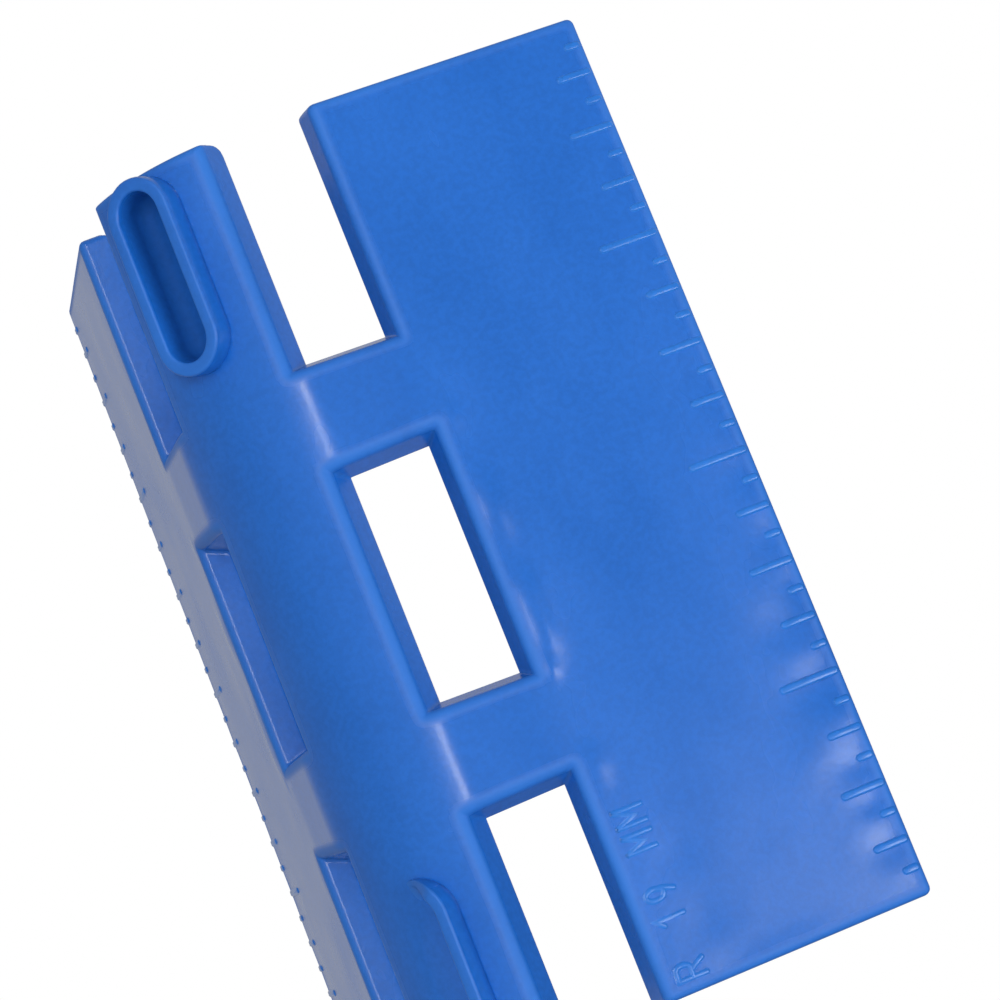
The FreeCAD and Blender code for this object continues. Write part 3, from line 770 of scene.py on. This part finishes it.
def blue_plastic(name, deep, light, edge, roughness):
    """Semi-gloss moulded plastic: mottled by flow, a little paler along its edges (a painted sheen) and
    rougher there, darker at a pocket's bottom (painted shade), with a fine grain and faint scuffs. The
    colours are linear."""
    material = bpy.data.materials.new(name)
    material.use_nodes = True
    add, wire = node_tools(material)
    place_node = add("ShaderNodeTexCoord")
    flow_map = add("ShaderNodeMapping")
    flow_map.inputs["Scale"].default_value = (1.0, 0.55, 1.0)
    wire(place_node, "Object", flow_map, "Vector")
    flow = add("ShaderNodeTexNoise", Scale=90.0, Detail=3.0, Roughness=0.55)
    wire(flow_map, "Vector", flow, "Vector")
    speck = add("ShaderNodeTexNoise", Scale=1500.0, Detail=2.0, Roughness=0.6)
    wire(place_node, "Object", speck, "Vector")
    mottle = ramp(add, wire, flow, "Fac", [(0.3, deep), (0.7, light)])
    grain = ramp(add, wire, speck, "Fac", [(0.35, 0.94), (0.65, 1.06)])
    grained = add("ShaderNodeMix", data_type="RGBA", blend_type="MULTIPLY")
    grained.inputs["Factor"].default_value = 1.0
    wire(mottle, "Color", grained, "A")
    wire(grain, "Color", grained, "B")
    edges = add("ShaderNodeAttribute", attribute_name="wear_and_painted_light")
    broken = add("ShaderNodeMath", operation="MULTIPLY")
    wire(edges, "Fac", broken, 0)
    wire(flow, "Fac", broken, 1)
    # Paler towards the edge colour where the attribute is high: a painted sheen.
    rim = ramp(add, wire, broken, "Value", [(0.1, 0.0), (0.6, 0.8)])
    sheen_paled = add("ShaderNodeMix", data_type="RGBA")
    wire(rim, "Color", sheen_paled, "Factor")
    wire(grained, "Result", sheen_paled, "A")
    sheen_paled.inputs["B"].default_value = (*edge, 1)
    shine = ramp(add, wire, flow, "Fac", [(0.3, roughness - 0.03), (0.7, roughness + 0.04)])
    scuff = add("ShaderNodeTexNoise", Scale=260.0, Detail=5.0, Roughness=0.7)
    wire(place_node, "Object", scuff, "Vector")
    fine = add("ShaderNodeBump", Strength=0.25, Distance=0.00003)
    wire(speck, "Fac", fine, "Height")
    broad = add("ShaderNodeBump", Strength=0.35, Distance=0.00008)
    wire(scuff, "Fac", broad, "Height")
    wire(fine, "Normal", broad, "Normal")
    shader = add("ShaderNodeBsdfPrincipled", IOR=1.47)
    # Darker where the attribute is below 0, at a pocket's bottom: painted shade.
    depth = add("ShaderNodeMath", operation="MULTIPLY_ADD", use_clamp=True)
    wire(edges, "Fac", depth, 0)
    depth.inputs[1].default_value = POCKET_SHADE
    depth.inputs[2].default_value = 1.0
    pocket_shaded = add("ShaderNodeVectorMath", operation="SCALE")
    wire(sheen_paled, "Result", pocket_shaded, "Vector")
    wire(depth, "Value", pocket_shaded, "Scale")
    wire(pocket_shaded, "Vector", shader, "Base Color")
    marked = add("ShaderNodeMath", operation="ABSOLUTE")
    wire(edges, "Fac", marked, 0)
    dulled = add("ShaderNodeMath", operation="MULTIPLY_ADD")
    wire(marked, "Value", dulled, 0)
    dulled.inputs[1].default_value = WEAR_ROUGHNESS
    wire(shine, "Color", dulled, 2)
    wire(dulled, "Value", shader, "Roughness")
    shaded = add("ShaderNodeMapRange", **{"From Min": -1.0, "From Max": 0.0, "To Min": 0.12, "To Max": 0.5})
    wire(edges, "Fac", shaded, "Value")
    wire(shaded, "Result", shader, "Specular IOR Level")
    wire(broad, "Normal", shader, "Normal")
    output = add("ShaderNodeOutputMaterial")
    wire(shader, "BSDF", output, "Surface")
    return material


# Stage

FLOOR_GLOW = (0.64, 0.63, 0.58)
FLOOR_FALL = {"From Min": -60 * MM, "From Max": -10 * MM, "To Min": 0.25, "To Max": 1.0}
FLOOR_SIZE = 3.0
FLOOR_GAP = 0.02 * MM               # that keeps the floor clear of the gauge's lowest edges
WORLD_LIGHT = 0.35


def floor_material():
    """A white light table: it looks evenly white, and lights the gauge only a little from below, less
    so towards the lower right."""
    material = bpy.data.materials.new("light_table")
    material.use_nodes = True
    add, wire = node_tools(material)
    rays = add("ShaderNodeLightPath")
    spot = add("ShaderNodeTexCoord")
    along_light = add("ShaderNodeVectorMath", operation="DOT_PRODUCT")
    wire(spot, "Object", along_light, 0)
    along_light.inputs[1].default_value = (-1, 1, 0)
    fall = add("ShaderNodeMapRange", interpolation_type="SMOOTHSTEP", **FLOOR_FALL)
    wire(along_light, "Value", fall, "Value")
    seen = add("ShaderNodeMath", operation="MAXIMUM")
    wire(rays, "Is Camera Ray", seen, 0)
    wire(fall, "Result", seen, 1)
    glow = ramp(add, wire, rays, "Is Camera Ray", [(0.0, FLOOR_GLOW), (1.0, 1.0)])
    shader = add("ShaderNodeEmission")
    wire(glow, "Color", shader, "Color")
    wire(seen, "Value", shader, "Strength")
    output = add("ShaderNodeOutputMaterial")
    wire(shader, "Emission", output, "Surface")
    return material


def build_floor():
    half = FLOOR_SIZE / 2
    mesh = bpy.data.meshes.new("table_top")
    corners = [(x * half, y * half, -FLOOR_GAP) for x, y in ((-1, -1), (1, -1), (1, 1), (-1, 1))]
    mesh.from_pydata(corners, [], [(0, 1, 2, 3)])
    floor = bpy.data.objects.new("table_top", mesh)
    bpy.context.scene.collection.objects.link(floor)
    mesh.materials.append(floor_material())


def build_world():
    world = bpy.data.worlds.new("studio")
    bpy.context.scene.world = world
    world.use_nodes = True
    background = world.node_tree.nodes["Background"]
    background.inputs["Color"].default_value = (1, 1, 1, 1)
    background.inputs["Strength"].default_value = WORLD_LIGHT


def softbox(name, direction, distance, width, height, power):
    """A rectangular light facing the gauge from a direction. Its longer side lies along Y."""
    light = bpy.data.lights.new(name, "AREA")
    light.shape = "RECTANGLE"
    light.size = width
    light.size_y = height
    light.energy = power
    lamp = bpy.data.objects.new(name, light)
    bpy.context.scene.collection.objects.link(lamp)
    back = Vector(direction).normalized()
    side = Vector((0, 1, 0)).cross(back).normalized()
    up = back.cross(side)
    turn = Matrix((side, up, back)).transposed()
    lamp.matrix_world = Matrix.Translation(back * distance + Vector((0, 0, CROWN / 2))) @ turn.to_4x4()


def build_lights():
    softbox("right_softbox", (0.914, -0.312, 0.262), 0.9, 0.36, 0.36, 3.6)
    softbox("overhead_strip", (0.415, 0.10, 0.905), 0.8, 0.03, 0.8, 3.2)
    softbox("overhead_softbox", (0.3, -0.2, 1.0), 1.0, 1.8, 1.8, 1.4)


def build_camera():
    """The camera looks down on the right wing, turned so that the corner runs down the picture."""
    azimuth, elevation, roll = math.radians(78.324), math.radians(57.972), math.radians(-101.999)
    target, distance, lens = Vector((18.72, 4.26, 20.0)) * MM, 313.4 * MM, 106.96
    back = Vector((math.sin(azimuth) * math.cos(elevation), -math.cos(azimuth) * math.cos(elevation),
                   math.sin(elevation)))
    level = Vector((0, 0, 1)).cross(back).normalized()
    upward = back.cross(level)
    right = level * math.cos(roll) + upward * math.sin(roll)
    up = back.cross(right)
    data = bpy.data.cameras.new("camera")
    data.lens = lens
    data.sensor_width = 36
    data.clip_start = 0.01
    camera = bpy.data.objects.new("camera", data)
    bpy.context.scene.collection.objects.link(camera)
    turn = Matrix((right, up, back)).transposed()
    camera.matrix_world = Matrix.Translation(target + back * distance) @ turn.to_4x4()
    bpy.context.scene.camera = camera


# The gauge

# Each edge colour is the painted sheen along rounded edges.
body_blue = blue_plastic("moulded_blue", deep=(0.009, 0.116, 0.49), light=(0.012, 0.134, 0.55),
                         edge=(0.016, 0.16, 0.60), roughness=0.25)
# The raised marks are a paler copy of the body's blue: painted light on their tops.
lit_mark_blue = blue_plastic("raised_blue_lit", deep=(0.012, 0.145, 0.55), light=(0.016, 0.168, 0.61),
                         edge=(0.02, 0.18, 0.64), roughness=0.28)

build_sheet(body_blue)
build_cup(body_blue)
build_half_rim(body_blue)
for side, word in ((1, "right"), (-1, "left")):
    add_ribs(word + "_ruler_ribs", side, tick_paths(), TICK_WIDTH, TICK_HEIGHT, lit_mark_blue,
             word + "_scale_ticks")
add_ribs("raised_size_mark", 1, mark_paths(), LETTER_STROKE, LETTER_RELIEF, lit_mark_blue, "size_mark")

build_floor()
build_world()
build_lights()
build_camera()
bpy.context.scene.view_settings.view_transform = "Standard"
